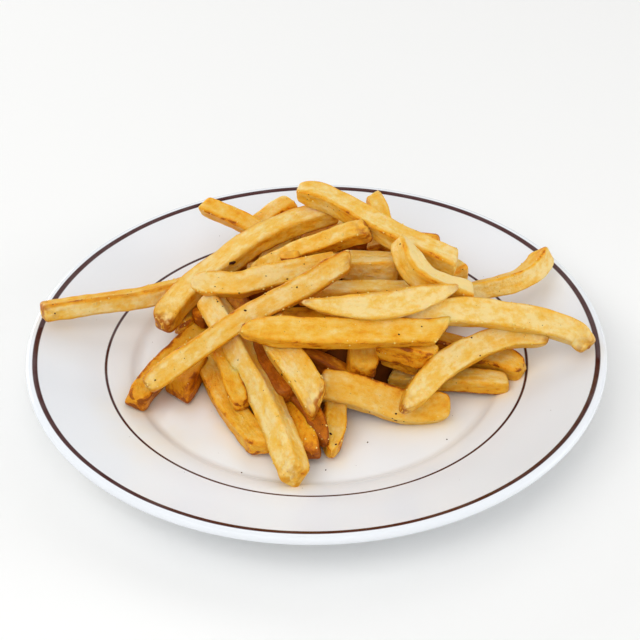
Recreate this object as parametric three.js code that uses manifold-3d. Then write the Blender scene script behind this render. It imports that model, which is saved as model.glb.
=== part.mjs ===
// A portion of french fries heaped on a round stoneware plate.
// Millimetres, +Z up. The origin is the plate's centre, on the table it stands on.
// -Y is the near side, towards the eater.
import * as THREE from "three";
import { mergeVertices } from "three/addons/utils/BufferGeometryUtils.js";
import Module from "manifold-3d";

const wasm = await Module();
wasm.setup();

// The plate: a flat floor, a curved cove round it and a straight sloping rim.
const plateDiameter = 230;
const floorHeight = 6.5;
const floorRadius = 70;
const coveRadius = 84.5;
const coveHeight = 12;
const rimHeight = 21.5;
const plateThickness = 4;
const lipWidth = 3.5;
const footRadius = 59;
const footWidth = 4;
const footHeight = 2.5;
const footSlope = 2;
const plateSides = 64;
const curveSteps = 4;

// The heap: a mound in the middle that carries the fries.
const moundCentre = [4, 12];
const moundRadius = 42;
const moundTop = 31;
const moundSides = 20;
const touchGap = 0.3;

// The fries: bars with cut-off corners.
const barSides = 8;
const ringSpacing = 30;
const cornerShare = 0.44;
const bluntEnd = [0.75, 3];
const tipShare = 0.35;
const straight = [0, 0];
const smoothing = 0.05;

const plateGlaze = new THREE.MeshStandardMaterial({
  color: 0xeeeef0,
  roughness: 0.25,
  metalness: 0,
});
const friedPotato = new THREE.MeshStandardMaterial({
  color: 0xe6b45a,
  roughness: 0.55,
  metalness: 0,
});

// Each fry's course runs along its middle, from its free end. wide and deep are its two
// thicknesses, one number or one for each end. turn rolls it about its course, in degrees.
// start and end shape its ends: the share of the thickness left at the very end, and how
// far back from it the fry narrows. slant cuts the first end, and lastSlant the other, at
// two angles in degrees.
const onTheFloor = [
  { course: [[-71, -34, 15], [-62, -12, 12], [-46, 14, 13]], wide: 9.5, deep: 9, turn: 20, start: [0.75, 5] },
  { course: [[-55, -26, 12], [-47, -6, 13]], wide: [12.5, 11], deep: 9.5, slant: [20, -25] },
  { course: [[-20, -59, 12], [-31, -35, 12], [-42, -8, 12]], wide: 11, deep: 10, start: [0.7, 7] },
  { course: [[5, -60, 11], [7, -40, 12], [7, -22, 12]], wide: 10, deep: 9, start: [0.25, 9] },
  {
    course: [[-2, -62, 11], [-9, -40, 12], [-21, -9, 12]],
    wide: 9,
    deep: 8,
    start: [0.6, 5],
    slant: [-25, 0],
  },
  { course: [[81, -15, 15], [54, -3, 13], [36, 5, 13]], wide: 10, deep: 9.5, turn: 10, start: [0.65, 5] },
  { course: [[74, -22, 12], [52, -20, 12], [30, -21, 12]], wide: 9, deep: 9, turn: 20 },
  {
    course: [[51, -34, 12], [42, -36, 12], [23, -36, 16], [1, -32, 21]],
    wide: 11.5,
    deep: 10.5,
    turn: 15,
    start: [0.5, 7],
  },
];
const againstTheHeap = [
  { course: [[26, -18, 24], [40, -24, 22]], wide: 7, deep: 6.5 },
  { course: [[47, -11, 24], [63, -15, 21]], wide: 8, deep: 7.5 },
  { course: [[-56, 10, 16], [-43, 31, 15], [-32, 41, 14]], wide: 9, deep: 9, start: [0.4, 6] },
  { course: [[-49, 11, 20], [-37, 24, 19]], wide: 7.5, deep: 7 },
  { course: [[1, -59, 15], [-4, -47, 18], [-10, -36, 19]], wide: 8, deep: 7, start: [0.3, 8] },
  { course: [[-10, -39, 21], [-22, -10, 28]], wide: 7.5, deep: 8, start: [0.5, 4] },
  { course: [[-26, -44, 19], [-34, -24, 22], [-40, -9, 25]], wide: 6.5, deep: 7, start: [0.4, 7] },
  { course: [[17, -27, 23], [19, -19, 24], [21, 9, 25]], wide: 12, deep: 10.5, start: [0.7, 5] },
  { course: [[44, -26, 29], [26, -24, 30]], wide: 9, deep: 9, start: [0.6, 4] },
  {
    course: [[1, -49, 22], [-6, -37, 29], [-11, -26, 32], [-18, -11, 35]],
    wide: [11.5, 11],
    deep: [9, 10],
    start: [0.3, 9],
  },
  {
    course: [[-8, -74, 14], [-18, -43, 20], [-33, -9, 27], [-43, 12, 30]],
    wide: [12, 10.5],
    deep: 10,
    start: [0.7, 5],
  },
];
const reachingOut = [
  { course: [[-110, 7, 28], [-82, 17, 26], [-60, 27, 24], [-36, 39, 21]], wide: 9, deep: 8.5, turn: 5 },
  { course: [[-48, 68, 40], [-30, 57, 36], [-18, 50, 32]], wide: 9, deep: 9, turn: 10, slant: [15, 0] },
  { course: [[-9, 72, 40], [-23, 65, 32], [-30, 61, 28]], wide: 8, deep: 8, start: [0.6, 5] },
  { course: [[26, 65, 44], [29, 50, 41], [35, 28, 34]], wide: 7.5, deep: 7.5, start: [0.4, 6] },
  { course: [[49, 27, 46], [34, 31, 43], [22, 33, 38]], wide: 7, deep: 6.5 },
  { course: [[61, 27, 33], [44, 13, 32]], wide: 8, deep: 8.5, start: [0.6, 4] },
  {
    course: [[98, 42, 30], [88, 27, 29], [73, 15, 30], [44, 5, 33]],
    wide: 8.5,
    deep: 8.5,
    start: [0.55, 6],
    slant: [20, 0],
  },
  {
    course: [[31, -48, 21], [47, -29, 24], [63, -16, 26], [91, -14, 26]],
    wide: [10.5, 8.5],
    deep: [10, 8],
    turn: 20,
    start: [0.25, 12],
    end: [0.5, 7],
  },
  {
    course: [[32, -17, 44], [51, -13, 41], [75, -11, 36], [95, -10, 31], [106, -17, 25]],
    wide: [9.5, 10],
    deep: 9.5,
    turn: 20,
    end: [0.6, 7],
  },
];
const onTop = [
  { course: [[56, 18, 42], [42, 20, 41], [30, 22, 36]], wide: 10, deep: 10, turn: 10 },
  {
    course: [[-28, -25, 41], [5, -29, 42], [31, -27, 40], [51, -20, 37]],
    wide: 10,
    deep: 9.5,
    turn: 20,
    start: [0.45, 7],
    end: [0.3, 9],
  },
  { course: [[-7, 3, 40], [38, 2, 40]], wide: 8, deep: 8 },
  { course: [[11, 17, 42], [33, 14, 43]], wide: 11, deep: 10.5, turn: 5 },
  {
    course: [[-49, 11, 38], [-30, 7, 40], [-6, 12, 43], [5, 15, 45]],
    wide: [10, 9],
    deep: [9, 8.5],
    turn: 10,
    start: [0.5, 7],
  },
  {
    course: [[-63, 5, 22], [-56, 14, 25], [-43, 26, 31], [-23, 38, 40], [9, 49, 48]],
    wide: [12.5, 10.5],
    deep: [11, 9.5],
    start: [0.55, 8],
    slant: [-22, 0],
  },
  {
    course: [[-31, 26, 33], [-6, 34, 39], [23, 39, 43]],
    wide: 10,
    deep: 9.5,
    turn: 5,
    start: [0.4, 9],
    lastSlant: [-25, 0],
  },
  {
    course: [[-65, -33, 22], [-37, -18, 33], [-13, -6, 44], [13, 4, 54]],
    wide: 11,
    deep: 10,
    turn: 15,
    start: [0.7, 6],
  },
  {
    course: [[-7, 52, 56], [2, 47, 56], [14, 38, 55], [34, 23, 52], [50, 13, 49]],
    wide: 11,
    deep: 10,
    turn: 15,
    start: [0.45, 9],
  },
  {
    course: [[32, 4, 54], [42, -1, 50], [51, -5, 46], [62, -3, 39]],
    wide: [13, 9.5],
    deep: [12.5, 9.5],
    turn: 30,
    slant: [35, 0],
  },
  {
    course: [[-4, -20, 50], [16, -23, 51], [37, -20, 51], [54, -11, 50]],
    wide: 9.5,
    deep: 8,
    turn: 20,
    start: [0.2, 16],
    end: [0.3, 10],
  },
];
const onTheFarSide = [
  { course: [[-36, 24, 11], [-29, 45, 12], [-20, 68, 12]], wide: 9, deep: 8.5 },
  { course: [[-14, 40, 12], [-11, 57, 12], [-8, 80, 15]], wide: 9, deep: 8.5 },
  { course: [[10, 35, 12], [15, 54, 12], [20, 72, 13]], wide: 10, deep: 9.5 },
  { course: [[31, 28, 12], [37, 44, 12], [45, 59, 12]], wide: 9, deep: 8.5 },
  { course: [[40, 14, 12], [56, 26, 12], [68, 37, 12]], wide: 8.5, deep: 8 },
  { course: [[-8, 80, 16], [14, 82, 16], [34, 77, 16]], wide: 9, deep: 8.5 },
  { course: [[-34, 50, 20], [4, 55, 20], [40, 50, 20]], wide: 9.5, deep: 9, turn: 10 },
  { course: [[-28, 63, 21], [8, 68, 20], [40, 60, 20]], wide: 9, deep: 8.5 },
  { course: [[-46, 38, 18], [-37, 51, 18], [-28, 66, 19]], wide: 9, deep: 8.5 },
  { course: [[-32, 44, 28], [-23, 57, 25], [-14, 74, 20]], wide: 9, deep: 8.5 },
  { course: [[-24, 28, 27], [-17, 46, 27], [-10, 62, 27]], wide: 8.5, deep: 8 },
  { course: [[2, 28, 29], [6, 48, 28], [10, 72, 25]], wide: 9, deep: 8.5 },
  { course: [[22, 24, 30], [30, 42, 28], [40, 60, 24]], wide: 9, deep: 8.5 },
  { course: [[50, 14, 22], [54, 30, 22], [52, 44, 18]], wide: 9, deep: 8.5 },
  { course: [[35, 36, 30], [46, 49, 25], [55, 60, 18]], wide: 9, deep: 8.5 },
  { course: [[40, 22, 26], [53, 34, 22], [62, 44, 18]], wide: 9, deep: 8.5 },
  { course: [[-10, 58, 28], [14, 62, 28], [38, 56, 27]], wide: 9, deep: 8.5, turn: 10 },
  { course: [[-16, 56, 34], [-5, 67, 30], [8, 77, 24]], wide: 9, deep: 8.5 },
  { course: [[18, 50, 37], [21, 62, 34], [24, 74, 29]], wide: 9, deep: 8.5 },
  { course: [[-6, 50, 33], [8, 52, 33], [24, 48, 33]], wide: 9, deep: 8.5, turn: 10 },
  { course: [[66, 2, 12], [52, 10, 13], [38, 16, 15]], wide: 9, deep: 8.5 },
  { course: [[-60, 30, 14], [-46, 28, 15], [-30, 24, 17]], wide: 9, deep: 8.5 },
];
const onTheMound = [
  { course: [[-22, 0, 32], [4, -2, 33], [24, -4, 32]], wide: 10, deep: 9.5 },
  { course: [[-28, 20, 30], [-4, 22, 32], [20, 25, 33]], wide: 10, deep: 9.5 },
  { course: [[-16, 30, 31], [-14, 10, 32], [-12, -8, 31]], wide: 9, deep: 8.5 },
  { course: [[14, 34, 32], [16, 14, 33], [14, -8, 31]], wide: 9, deep: 8.5 },
  { course: [[38, 36, 27], [40, 20, 30], [44, 2, 29]], wide: 9, deep: 8.5 },
  { course: [[-37, 20, 26], [-31, 4, 28], [-26, -12, 27]], wide: 9, deep: 8.5 },
];

// A closed geometry as a solid that can be joined and cut.
function solidOf(geometry) {
  geometry.deleteAttribute("normal");
  geometry.deleteAttribute("uv");
  const closed = mergeVertices(geometry, 1e-3);
  return new wasm.Manifold(
    new wasm.Mesh({
      numProp: 3,
      vertProperties: closed.attributes.position.array,
      triVerts: new Uint32Array(closed.index.array),
    }),
  );
}

// A solid back as a geometry.
function geometryOf(solid) {
  const { vertProperties, triVerts } = solid.getMesh();
  const geometry = new THREE.BufferGeometry();
  geometry.setAttribute("position", new THREE.BufferAttribute(vertProperties, 3));
  geometry.setIndex(new THREE.BufferAttribute(triVerts, 1));
  geometry.computeVertexNormals();
  return geometry;
}

// An outline of radius and height, spun about the upright axis.
function spun(outline, sides) {
  return new THREE.LatheGeometry(outline.getPoints(curveSteps), sides).rotateX(Math.PI / 2);
}

function plateSolid() {
  const rimRadius = plateDiameter / 2;
  const lipMiddle = rimHeight - lipWidth / 2;
  const footInside = footRadius - footWidth / 2;
  const footOutside = footRadius + footWidth / 2;
  const outline = new THREE.Path();
  outline.moveTo(0, footHeight);
  outline.lineTo(footInside - footSlope, footHeight);
  outline.lineTo(footInside, 0);
  outline.lineTo(footOutside, 0);
  outline.lineTo(footOutside + footSlope, footHeight);
  outline.quadraticCurveTo(floorRadius + plateThickness, footHeight, coveRadius, coveHeight - plateThickness);
  outline.lineTo(rimRadius - lipWidth / 2, rimHeight - lipWidth);
  outline.quadraticCurveTo(rimRadius, rimHeight - lipWidth, rimRadius, lipMiddle);
  outline.quadraticCurveTo(rimRadius, rimHeight, rimRadius - lipWidth / 2, rimHeight);
  outline.lineTo(coveRadius, coveHeight);
  outline.quadraticCurveTo((floorRadius + coveRadius) / 2 - 1, floorHeight, floorRadius, floorHeight);
  outline.lineTo(0, floorHeight);
  return solidOf(spun(outline, plateSides));
}

function moundSolid() {
  const outline = new THREE.Path();
  outline.moveTo(0, floorHeight);
  outline.lineTo(moundRadius, floorHeight);
  outline.bezierCurveTo(moundRadius, moundTop * 0.8, moundRadius * 0.6, moundTop, 0, moundTop);
  return solidOf(spun(outline, moundSides)).translate(...moundCentre, 0);
}

// The rings of a fry, as distances along it: two in each end and a few between.
function ringsAlong(length, startLength, endLength) {
  const middle = length - startLength - endLength;
  const spans = Math.max(1, Math.round(middle / ringSpacing));
  const rings = [0, startLength * tipShare];
  for (let i = 0; i <= spans; i += 1) {
    rings.push(startLength + (middle * i) / spans);
  }
  rings.push(length - endLength * tipShare, length);
  return rings;
}

// How much of its full thickness a fry has left so far from an end.
function narrowing(distance, [share, reach]) {
  const back = Math.max(0, 1 - distance / reach);
  return share + (1 - share) * Math.sqrt(1 - back * back);
}

// How far a cut at two angles moves a point of an end along the fry.
function cutShift(across, up, [sideways, upright]) {
  const sidewaysSlope = Math.tan(THREE.MathUtils.degToRad(sideways));
  const uprightSlope = Math.tan(THREE.MathUtils.degToRad(upright));
  return across * sidewaysSlope + up * uprightSlope;
}

// A closed cylinder with eight sides whose rings are squared off and moved onto the course.
function frySolid({ course, wide, deep, turn = 0, start = bluntEnd, end = bluntEnd, ...cuts }) {
  const { slant = straight, lastSlant = straight } = cuts;
  const points = course.map((point) => new THREE.Vector3(...point));
  const path = new THREE.CatmullRomCurve3(points, false, "centripetal");
  const length = path.getLength();
  const rings = ringsAlong(length, start[1], end[1]);
  const lastRing = rings.length - 1;
  const widths = [wide].flat();
  const depths = [deep].flat();
  const geometry = new THREE.CylinderGeometry(1, 1, 1, barSides, lastRing, false, Math.PI / barSides);
  const squareOff = (value) => Math.sign(value) * (Math.abs(value) < 0.5 ? cornerShare : 1);
  const position = geometry.attributes.position;
  const corner = new THREE.Vector3();
  const upright = new THREE.Vector3(0, 0, 1);
  for (let i = 0; i < position.count; i += 1) {
    corner.fromBufferAttribute(position, i);
    const ring = Math.round((0.5 - corner.y) * lastRing);
    const along = rings[ring];
    const share = along / length;
    const middle = path.getPointAt(share);
    const ahead = path.getTangentAt(share);
    const size = narrowing(along, start) * narrowing(length - along, end);
    const halfWidth = THREE.MathUtils.lerp(widths[0], widths.at(-1), share) / 2;
    const halfDepth = THREE.MathUtils.lerp(depths[0], depths.at(-1), share) / 2;
    const across = squareOff(corner.x) * halfWidth * size;
    const up = squareOff(corner.z) * halfDepth * size;
    const side = new THREE.Vector3().crossVectors(upright, ahead).normalize();
    const roll = new THREE.Quaternion().setFromAxisAngle(ahead, THREE.MathUtils.degToRad(turn));
    const top = new THREE.Vector3().crossVectors(ahead, side).applyQuaternion(roll);
    side.applyQuaternion(roll);
    middle.addScaledVector(side, across).addScaledVector(top, up);
    if (ring === 0) {
      middle.addScaledVector(ahead, -cutShift(across, up, slant));
    }
    if (ring === lastRing) {
      middle.addScaledVector(ahead, cutShift(across, up, lastSlant));
    }
    position.setXYZ(i, middle.x, middle.y, middle.z);
  }
  return solidOf(geometry);
}

// The fries fused to the mound, clear of the dish: what fusing seals in is filled.
function heapSolid(dish) {
  const fries = [onTheFloor, againstTheHeap, reachingOut, onTop, onTheFarSide, onTheMound].flat();
  const fused = wasm.Manifold.union([moundSolid(), ...fries.map(frySolid)]);
  const fitted = fused.subtract(dish.translate(0, 0, touchGap));
  const bodies = fitted.decompose().sort((a, b) => b.volume() - a.volume());
  return bodies[0].simplify(smoothing);
}

function named(name, solid, material) {
  const mesh = new THREE.Mesh(geometryOf(solid), material);
  mesh.name = name;
  return mesh;
}

const dish = plateSolid();
const portion = new THREE.Group();
portion.add(named("plate", dish, plateGlaze));
portion.add(named("fries", heapSolid(dish), friedPotato));

export default portion;
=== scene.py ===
import math
import random

import bpy
import numpy as np
from mathutils import Matrix, Vector, noise
from mathutils.bvhtree import BVHTree


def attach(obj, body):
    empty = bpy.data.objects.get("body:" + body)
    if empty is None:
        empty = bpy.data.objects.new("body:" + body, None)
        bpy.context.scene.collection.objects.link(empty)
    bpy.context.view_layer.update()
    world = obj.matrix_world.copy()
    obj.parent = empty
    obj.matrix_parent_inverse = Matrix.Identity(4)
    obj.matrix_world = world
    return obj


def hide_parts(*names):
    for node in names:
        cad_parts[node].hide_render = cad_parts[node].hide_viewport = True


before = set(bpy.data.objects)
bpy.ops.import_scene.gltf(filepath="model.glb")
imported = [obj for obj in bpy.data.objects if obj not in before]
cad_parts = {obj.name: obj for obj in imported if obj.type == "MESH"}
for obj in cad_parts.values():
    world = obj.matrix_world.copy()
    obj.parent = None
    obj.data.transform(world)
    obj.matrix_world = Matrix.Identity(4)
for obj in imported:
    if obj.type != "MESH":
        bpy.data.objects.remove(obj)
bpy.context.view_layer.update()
mm = 0.001


# small helpers for shaders

def newMaterial(name):
    material = bpy.data.materials.new(name)
    material.use_nodes = True
    return material, material.node_tree, material.node_tree.nodes["Principled BSDF"]


def setInputs(tree, node, values):
    for key, value in values.items():
        if isinstance(value, bpy.types.NodeSocket):
            tree.links.new(value, node.inputs[key])
        else:
            node.inputs[key].default_value = value


def addNode(tree, kind, inputs=None, **settings):
    node = tree.nodes.new(kind)
    for key, value in settings.items():
        setattr(node, key, value)
    setInputs(tree, node, inputs or {})
    return node


def maths(tree, operation, *values, clamp=False):
    inputs = dict(enumerate(values))
    node = addNode(tree, "ShaderNodeMath", inputs, operation=operation, use_clamp=clamp)
    return node.outputs[0]


def remap(tree, value, low, high, toLow=0.0, toHigh=1.0):
    limits = {"Value": value, "From Min": low, "From Max": high, "To Min": toLow, "To Max": toHigh}
    return addNode(tree, "ShaderNodeMapRange", limits).outputs["Result"]


def noiseOf(tree, vector, scale, detail=2.0, roughness=0.5):
    settings = {"Vector": vector, "Scale": scale, "Detail": detail, "Roughness": roughness}
    return addNode(tree, "ShaderNodeTexNoise", settings).outputs["Fac"]


def patches(tree, vector, scale, detail, low, high):
    # soft noise spread from low to high
    return remap(tree, noiseOf(tree, vector, scale, detail), 0.3, 0.7, low, high)


def blend(tree, factor, first, second, mode="MIX"):
    # the colours are inputs 6 and 7 of a mix node, and its output 2
    inputs = {0: factor, 6: first, 7: second}
    node = addNode(tree, "ShaderNodeMix", inputs, data_type="RGBA", blend_type=mode)
    return node.outputs[2]


def rampOf(tree, value, stops):
    node = addNode(tree, "ShaderNodeValToRGB", {"Fac": value})
    elements = node.color_ramp.elements
    while len(elements) < len(stops):
        elements.new(0.5)
    for element, (place, colour) in zip(elements, stops):
        element.position = place
        element.color = (*colour, 1)
    return node.outputs["Color"]


def upwardOf(tree):
    # how far the surface looks up, from -1 to 1
    normal = addNode(tree, "ShaderNodeNewGeometry").outputs["Normal"]
    return addNode(tree, "ShaderNodeSeparateXYZ", {0: normal}).outputs[2]


def bumpOf(tree, height, strength, depth):
    inputs = {"Height": height, "Strength": strength, "Distance": depth * mm}
    return addNode(tree, "ShaderNodeBump", inputs).outputs[0]


# the plate

plate = {
    # radii and heights in mm: lip, rim, cove, floor and foot ring
    "radius": 115, "rimHeight": 21.5, "lip": 3.5, "lipFlat": 0.6, "lipDrop": 0.1,
    "rimSlope": ((109, 20.05), (97, 16.1), (86, 12.5)), "thickness": 4,
    "coveRadius": 84.5, "coveHeight": 12, "verge": ((78, 10), (75, 8.6), (72.6, 6.5)),
    "floorRadius": 70, "floorHeight": 6.5, "floorRings": (66, 3), "hub": 12,
    "footRadius": 59, "footWidth": 4, "footHeight": 2.5, "footBevel": (0.4, 0.3), "footFlare": 2,
    "sides": 160, "smoothBelow": 40,
    "curveSteps": {"under": 8, "lip": 5, "rim": 4, "verge": 6},
    # glaze in the well and on the rim, where it is painted darker and bluer as painted shade, the
    # radii between which it changes, and duskier patches
    "glaze": (0.89, 0.92, 0.945, 1), "rimShadedGlaze": (0.83, 0.86, 0.90, 1), "rimShadeFade": (77, 88),
    "dusk": (0.97, 0.97, 0.97, 1), "duskScale": 30,
    # roughness from least to most, and ripples: scale, strength and depth in mm
    "gloss": (0.128, 0.192), "glossScale": 45, "ripple": (60, 0.06, 0.6), "specular": 0.28,
    # painted warm shade beside the fries, a yellow-brown tint: its strength where they touch, its
    # reach in mm and its patches
    "warmShade": (0.93, 0.74, 0.36, 1), "warmShadeStrength": 0.6, "warmShadeReach": 3.2,
    "warmShadeScale": 90, "warmShadePatches": (0.5, 1.1),
    "coveWarmShade": (-60, -48, 15, 0.32),  # x, y, reach and strength of one painted patch of warm shade in the cove, standing for the fries' reflection there
    # painted bands: radius and half width in mm, soft edge, wobble, brushing, and how far up a
    # face must look to carry them
    "band": (0.05, 0.004, 0.003, 1), "outerBand": (111.4, 0.98), "innerBand": (84.5, 0.52),
    "bandEdge": 0.16, "bandWobble": 0.12, "wobbleScale": 22,
    "bandThin": 0.965, "brushScale": 160, "bandFacing": (0.3, 0.5),
}


def curved(start, control, end, steps):
    points = []
    for i in range(1, steps + 1):
        t = i / steps
        weights = ((1 - t) ** 2, 2 * t * (1 - t), t * t)
        corners = (start, control, end)
        points.append(tuple(sum(w * p[k] for w, p in zip(weights, corners)) for k in (0, 1)))
    return points


def plateOutline():
    # from the middle of the underside round the foot and the lip to the middle of the floor
    p, steps = plate, plate["curveSteps"]
    footIn = p["footRadius"] - p["footWidth"] / 2
    footOut = p["footRadius"] + p["footWidth"] / 2
    inset, rise = p["footBevel"]
    underLip = (p["radius"] - p["lip"] / 2, p["rimHeight"] - p["lip"])
    lipMiddle = (p["radius"], p["rimHeight"] - p["lip"] / 2)
    lipTop = (p["radius"] - p["lip"] * p["lipFlat"], p["rimHeight"])
    lipEnd = (p["radius"] - p["lip"], p["rimHeight"] - p["lipDrop"])
    cove = (p["coveRadius"], p["coveHeight"])
    underCove = (p["coveRadius"], p["coveHeight"] - p["thickness"])
    underVerge = (p["floorRadius"] + p["thickness"], p["footHeight"])
    shelf, steep, bend = p["verge"]

    outline = [(p["hub"], p["footHeight"]), (footIn - p["footFlare"], p["footHeight"])]
    outline += [(footIn, rise), (footIn + inset, 0), (footOut - inset, 0), (footOut, rise)]
    outline += [(footOut + p["footFlare"], p["footHeight"])]
    outline += curved(outline[-1], underVerge, underCove, steps["under"])
    outline += [underLip]
    outline += curved(underLip, (p["radius"], p["rimHeight"] - p["lip"]), lipMiddle, steps["lip"])
    outline += curved(lipMiddle, (p["radius"], p["rimHeight"]), lipTop, steps["lip"])
    outline += curved(lipTop, lipEnd, p["rimSlope"][0], steps["rim"])
    outline += [*p["rimSlope"][1:], cove]
    outline += curved(cove, shelf, steep, steps["verge"])
    outline += curved(steep, bend, (p["floorRadius"], p["floorHeight"]), steps["verge"])
    first, apart = p["floorRings"]
    return outline + [(radius, p["floorHeight"]) for radius in range(first, p["hub"] - 1, -apart)]


def spinOutline(name, outline, sides, smoothBelow):
    # a disc whose edge is extruded, moved and resized from one point of the outline to the next
    bpy.ops.object.select_all(action="DESELECT")
    firstRadius, firstHeight = outline[0]
    bpy.ops.mesh.primitive_circle_add(vertices=sides, radius=firstRadius * mm, fill_type="NGON")
    spun = bpy.context.object
    spun.name = name
    bpy.ops.object.mode_set(mode="EDIT")
    bpy.ops.transform.translate(value=(0, 0, firstHeight * mm))
    bpy.ops.mesh.select_mode(type="EDGE")
    bpy.ops.mesh.region_to_loop()
    for (radius, height), (nextRadius, nextHeight) in zip(outline, outline[1:]):
        grow = nextRadius / radius
        bpy.ops.mesh.extrude_edges_move()
        bpy.ops.transform.translate(value=(0, 0, (nextHeight - height) * mm))
        bpy.ops.transform.resize(value=(grow, grow, 1), center_override=(0, 0, 0))
    bpy.ops.mesh.edge_face_add()
    bpy.ops.mesh.select_all(action="SELECT")
    bpy.ops.mesh.normals_make_consistent(inside=False)
    bpy.ops.object.mode_set(mode="OBJECT")
    bpy.ops.object.shade_smooth_by_angle(angle=math.radians(smoothBelow))
    return spun


def glazeMaterial():
    material, tree, shader = newMaterial("stonewareGlaze")
    place = addNode(tree, "ShaderNodeTexCoord").outputs["Object"]
    parts = addNode(tree, "ShaderNodeSeparateXYZ", {0: place}).outputs
    flat = addNode(tree, "ShaderNodeCombineXYZ", {0: parts[0], 1: parts[1]}).outputs[0]
    length = addNode(tree, "ShaderNodeVectorMath", {0: flat}, operation="LENGTH")
    radius = length.outputs["Value"]

    # the painted bands
    reach, edge = plate["bandWobble"] * mm, plate["bandEdge"]
    wobble = patches(tree, place, plate["wobbleScale"], 1, -reach, reach)
    painted = maths(tree, "ADD", radius, wobble)
    bands = 0.0
    for middle, half in (plate["outerBand"], plate["innerBand"]):
        away = maths(tree, "ABSOLUTE", maths(tree, "SUBTRACT", painted, middle * mm))
        inside = remap(tree, away, (half + edge) * mm, (half - edge) * mm)
        bands = maths(tree, "MAXIMUM", bands, inside)
    facing = remap(tree, upwardOf(tree), *plate["bandFacing"])
    brush = noiseOf(tree, place, plate["brushScale"], 3)
    bands = maths(tree, "MULTIPLY", bands, facing)
    bands = maths(tree, "MULTIPLY", bands, remap(tree, brush, 0.3, 0.75, 1.0, plate["bandThin"]))

    # the white glaze, darker on the rim as painted shade, and the painted warm shade beside the
    # fries
    fadeIn, fadeOut = plate["rimShadeFade"]
    rimShadeShare = remap(tree, radius, fadeIn * mm, fadeOut * mm)
    white = blend(tree, rimShadeShare, plate["glaze"], plate["rimShadedGlaze"])
    mottle = noiseOf(tree, place, plate["duskScale"], 2)
    white = blend(tree, mottle, white, plate["dusk"], "MULTIPLY")
    # painted warm shade: a yellow-brown tint, strongest where the fries touch the plate
    warmShadeAmount = addNode(tree, "ShaderNodeAttribute", attribute_name="plateWarmShade").outputs["Fac"]
    patchy = patches(tree, place, plate["warmShadeScale"], 2, *plate["warmShadePatches"])
    warmShadeAmount = maths(tree, "MULTIPLY", warmShadeAmount, patchy, clamp=True)
    white = blend(tree, warmShadeAmount, white, plate["warmShade"])

    rippleScale, strength, depth = plate["ripple"]
    setInputs(tree, shader, {
        "Base Color": blend(tree, bands, white, plate["band"]),
        "Roughness": patches(tree, place, plate["glossScale"], 2, *plate["gloss"]),
        "Normal": bumpOf(tree, noiseOf(tree, place, rippleScale, 1), strength, depth),
        "Specular IOR Level": plate["specular"],
    })
    return material


glazedPlate = spinOutline("glazedPlate", plateOutline(), plate["sides"], plate["smoothBelow"])
glazedPlate.data.materials.append(glazeMaterial())
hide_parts("plate")
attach(glazedPlate, "root")
print("plate spun")


# the fries

fries = {
    "seed": 11,
    # mm between rings, and steps round each corner and across each flat side
    "ringStep": 1.1, "steps": (3, 3), "farRingStep": 2.4, "farSteps": (2, 2),
    "closeRings": (0, 0.25, 0.6, 1.0, 1.5), "closeReach": 2.1,  # rings at both ends, in mm
    # the section: corners, how far the flats sink in, and from how far behind the ends
    "cornerRadius": (0.7, 1.6), "cornerShare": 0.6, "sink": (0.1, 0.55), "sinkReach": 6,
    "endRound": 1.3, "thinnest": 0.3, "twist": 7,
    # share of width and depth that comes and goes, over what length, and how unalike the two are
    "sway": (0.05, 14, 31),
    # relief in mm: height, size across and size along
    "relief": ((0.38, 9, 13), (0.28, 3.2, 4.5), (0.07, 1.3, 9)),
    # cut faces: sizes of their rings, bulge, unevenness, roughness and size of its grain
    "capRings": (0.82, 0.55, 0.25), "capBulge": 0.35, "capTop": 0.4, "capUneven": (-0.08, 0.08),
    "capRough": 0.18, "capGrain": 1.6,
    "slant": (2.2, 6, 5),  # a slanted cut fades over so many times its rise on such a half section
    # chance: how crisp each corner is, and how much paler each side and each fry is
    "crispness": (0.2, 1.0), "faceTone": (-0.06, 0.06), "toneShift": (-0.03, 0.03),
    # crispness where a corner meets a side, darker cut faces, and mm over which scorching fades
    "arcEndCrisp": 0.6, "capDarker": 0.08, "scorchReach": 2.6,
    "placeShift": 7, "capPlace": 2,  # mm that move each fry's pattern away from the others'
    # skin from charred to cream: its place on the scale of paleness, and its colour
    "skin": ((0.0, (0.30, 0.07, 0.001)), (0.12, (0.53, 0.15, 0.001)), (0.25, (0.80, 0.33, 0.006)),
             (0.48, (0.84, 0.44, 0.030)), (0.76, (0.85, 0.54, 0.11)), (1.0, (0.87, 0.66, 0.27))),
    "crisp": (0.44, 0.13, 0.004, 1), "burnt": (0.10, 0.025, 0.006, 1),
    # noise in the skin: stretch along the fry, scale, detail, roughness, change of paleness, relief
    "noise": {
        "broad": (0.6, 0.18, 2, 0.5, 0.22, 0), "cloud": (0.65, 0.5, 3, 0.55, 0.19, 1.4),
        "crease": (0.12, 0.75, 3, 0.55, 0.05, 0.8), "fine": (1, 2.2, 3, 0.6, 0.07, 0.45),
    },
    "blister": (0.8, -0.35), "bump": (0.6, 0.8),  # scale and relief; strength and depth in mm
    # paleness: change from flat sides to crisp corners, painted shade by which way a face looks
    # from under to upper sides, and the tone below which noise counts for less
    "crispTone": (0.10, -0.24), "facingShadeTone": (-0.3, 0.8, -0.12, 0.02), "quietTone": (0.4, 0.25),
    # browning: what counts as a crisp corner, its patches, and weights on corners and ends
    "cornerLine": (0.25, 0.95), "linePatch": (0.4, 0.3, 0.36, 0.62), "endPatch": (0.35, 0.42, 0.62),
    "browned": {"corners": 0.85, "ends": 1.0, "endCorners": 1.2},
    "freckle": (0.9, 0.76, 0.82, 0.5),  # scale, where it starts and is full, and strength
    "roughness": (0.36, 0.54), "specular": 0.18, "coat": (0.03, 0.25),
    "subsurface": 0.4, "subsurfaceRadius": (1.0, 0.6, 0.3), "subsurfaceScale": 2,
}


def listed(value):
    return value if isinstance(value, (tuple, list)) else (value, value)


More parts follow.
